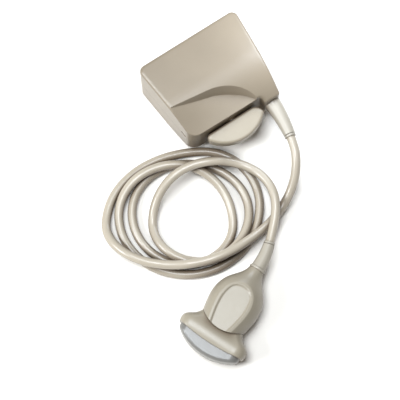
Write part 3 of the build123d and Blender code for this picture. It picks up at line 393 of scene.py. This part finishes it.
def moulded_plastic(
    name,
    colour,
    roughness,
    painted_shade=PAINTED_SHADE_COLOUR,
    grain=GRAIN_STRENGTH,
    seam=None,
    painted_shade_stops_at=PAINTED_SHADE_ENDS_AT,
    coat=0.0,
):
    """Moulded plastic: slightly cloudy, finely grained, with painted shade where other surfaces are near and
    edges lightened partly for wear and partly as a painted highlight.
    """
    material, tree, shader, place = new_material(name)
    cloud = spread(tree, noise(tree, place, CLOUD_SIZE, 3), NOISE_LOW, NOISE_HIGH, 0, 1)
    tint = mix(tree, cloud, lighter(colour, CLOUD_DARK), lighter(colour, CLOUD_LIGHT))
    # Painted shade: the colour turns towards the painted shade colour where ambient occlusion finds other
    # surfaces near
    inputs = {"Distance": PAINTED_SHADE_REACH * MILLIMETRE}
    painted_shade_openness = add_node(tree, "ShaderNodeAmbientOcclusion", inputs, samples=PAINTED_SHADE_SAMPLES).outputs["AO"]
    tint = mix(tree, spread(tree, painted_shade_openness, PAINTED_SHADE_FULL_AT, painted_shade_stops_at, 0, 1), painted_shade, tint)
    inputs = {"Radius": EDGE_RADIUS * MILLIMETRE}
    soft_edge = add_node(tree, "ShaderNodeBevel", inputs, samples=EDGE_SAMPLES).outputs["Normal"]
    true_normal = add_node(tree, "ShaderNodeNewGeometry", {}).outputs["Normal"]
    along = add_node(tree, "ShaderNodeVectorMath", {0: soft_edge, 1: true_normal}, operation="DOT_PRODUCT")
    # Edges lightened in colour: partly edge wear, partly a painted highlight
    edge = spread(tree, along.outputs["Value"], EDGE_FLAT_AT, EDGE_SHARP_AT, 0, EDGE_WEAR_AND_HIGHLIGHT_SHARE)
    tint = mix(tree, edge, tint, lighter(colour, EDGE_WEAR_AND_HIGHLIGHT_LIGHTER))
    if seam is not None:
        # A dark parting line at the seam, in a darker copy of the painted shade colour
        height = add_node(tree, "ShaderNodeSeparateXYZ", {"Vector": place}).outputs["Z"]
        inputs = {0: height, 1: seam * MILLIMETRE, 2: SEAM_WIDTH / 2 * MILLIMETRE}
        on_seam = add_node(tree, "ShaderNodeMath", inputs, operation="COMPARE").outputs["Value"]
        tint = mix(tree, on_seam, tint, lighter(painted_shade, SEAM_DARK))
    tree.links.new(tint, shader.inputs["Base Color"])
    smoothest = roughness - POLISH_BELOW
    roughest = roughness + POLISH_ABOVE
    polish = spread(tree, noise(tree, place, POLISH_SIZE, 4), NOISE_LOW, NOISE_HIGH, smoothest, roughest)
    tree.links.new(polish, shader.inputs["Roughness"])
    inputs = {
        "Strength": grain,
        "Distance": GRAIN_DEPTH * MILLIMETRE,
        "Height": noise(tree, place, GRAIN_SIZE),
        "Normal": soft_edge,
    }
    bump = add_node(tree, "ShaderNodeBump", inputs)
    tree.links.new(bump.outputs["Normal"], shader.inputs["Normal"])
    shader.inputs["Coat Weight"].default_value = coat
    return material


def worked_metal(name, colour, roughness):
    """Machined or stamped metal with fine tool marks and dulled patches."""
    material, tree, shader, place = new_material(name)
    dull = spread(tree, noise(tree, place, DULL_SIZE, 4), DULL_FROM, NOISE_HIGH, 0, 1)
    tree.links.new(mix(tree, dull, colour, lighter(colour, DULL_DARK)), shader.inputs["Base Color"])
    marks = noise(tree, place, MARK_SIZE)
    polish = spread(tree, marks, NOISE_LOW, NOISE_HIGH, roughness, roughness + MARK_ROUGHER)
    tree.links.new(polish, shader.inputs["Roughness"])
    inputs = {"Strength": MARK_STRENGTH, "Distance": MARK_DEPTH * MILLIMETRE, "Height": marks}
    bump = add_node(tree, "ShaderNodeBump", inputs)
    tree.links.new(bump.outputs["Normal"], shader.inputs["Normal"])
    shader.inputs["Metallic"].default_value = 1
    return material


def speckled(name, colour, other, size, roughness):
    """A fine two-toned material, such as a board, a ceramic or a filled resin."""
    material, tree, shader, place = new_material(name)
    share = spread(tree, noise(tree, place, size, 3), SPECK_FROM, SPECK_TO, 0, 1)
    tree.links.new(mix(tree, share, colour, other), shader.inputs["Base Color"])
    polish = spread(tree, share, 0, 1, roughness, roughness + SPECK_ROUGHER)
    tree.links.new(polish, shader.inputs["Roughness"])
    return material


def striped(name, colour, other, pitch, roughness):
    """Parallel conductors."""
    material, tree, shader, place = new_material(name)
    scale = WAVES_PER_PITCH / (pitch * MILLIMETRE)
    inputs = {"Vector": place, "Scale": scale, "Distortion": STRIPE_WOBBLE, "Detail": 1.0}
    wave = add_node(tree, "ShaderNodeTexWave", inputs, bands_direction="X").outputs["Fac"]
    share = spread(tree, wave, STRIPE_FROM, STRIPE_TO, 0, 1)
    tree.links.new(mix(tree, share, colour, other), shader.inputs["Base Color"])
    polish = spread(tree, share, 0, 1, roughness, roughness + STRIPE_ROUGHER)
    tree.links.new(polish, shader.inputs["Roughness"])
    return material


def make_materials():
    """One material for each of the record's slots."""
    made = {name: moulded_plastic(name, **look) for name, look in PLASTICS.items()}
    made.update({name: worked_metal(name, *look) for name, look in METALS.items()})
    made.update({name: speckled(name, *look) for name, look in SPECKLED.items()})
    made.update({name: striped(name, *look) for name, look in STRIPED.items()})
    return made


def add_softbox(name, place, target, size, power, colour):
    """A square area light that the camera doesn't see."""
    data = bpy.data.lights.new(name, "AREA")
    data.energy = power
    data.size = size * MILLIMETRE
    data.color = colour
    light = bpy.data.objects.new(name, data)
    light.location = mm(*place)
    aim = mm(*place) - mm(*target)
    light.rotation_euler = aim.to_track_quat("Z", "Y").to_euler()
    light.visible_camera = False
    bpy.context.collection.objects.link(light)


def make_studio():
    """A pale floor under a large overhead softbox, with a key from the left and one beside the connector."""
    half = FLOOR_SIZE / 2 * MILLIMETRE
    corners = [(-half, -half, 0), (half, -half, 0), (half, half, 0), (-half, half, 0)]
    floor_mesh = bpy.data.meshes.new("floor")
    floor_mesh.from_pydata(corners, [], [(0, 1, 2, 3)])
    floor = bpy.data.objects.new("floor", floor_mesh)
    bpy.context.collection.objects.link(floor)
    material, tree, shader, place = new_material("floor")
    paper = spread(tree, noise(tree, place, FLOOR_CLOUD_SIZE, 3), NOISE_LOW, NOISE_HIGH, 0, 1)
    colour = mix(tree, paper, lighter(FLOOR_COLOUR, FLOOR_DARK), FLOOR_COLOUR)
    tree.links.new(colour, shader.inputs["Base Color"])
    shader.inputs["Roughness"].default_value = FLOOR_ROUGHNESS
    floor_mesh.materials.append(material)
    for name, settings in SOFTBOXES.items():
        add_softbox(name, *settings)
    world = bpy.data.worlds.new("world")
    bpy.context.scene.world = world
    world.use_nodes = True
    background = world.node_tree.nodes["Background"]
    background.inputs["Color"].default_value = (*WORLD_COLOUR, 1)
    background.inputs["Strength"].default_value = WORLD_STRENGTH
    bpy.context.scene.view_settings.view_transform = "Standard"


make_camera()
cable = make_cable()
pads = make_contact_pads()
materials = make_materials()
cable.data.materials.append(materials["cable_jacket"])
pads.data.materials.append(materials["contact_metal"])
slots = {row["node"]: row["material_slot"] for row in frame["record"]["subparts"]}
for name, node in frame["nodes"].items():
    node.data.materials.clear()
    node.data.materials.append(materials[slots[name]])
# The strips carry the metal pads, so they show the insulator between them
frame["nodes"]["contact_strips"].data.materials[0] = materials["insulator"]
make_studio()

bpy.context.view_layer.update()
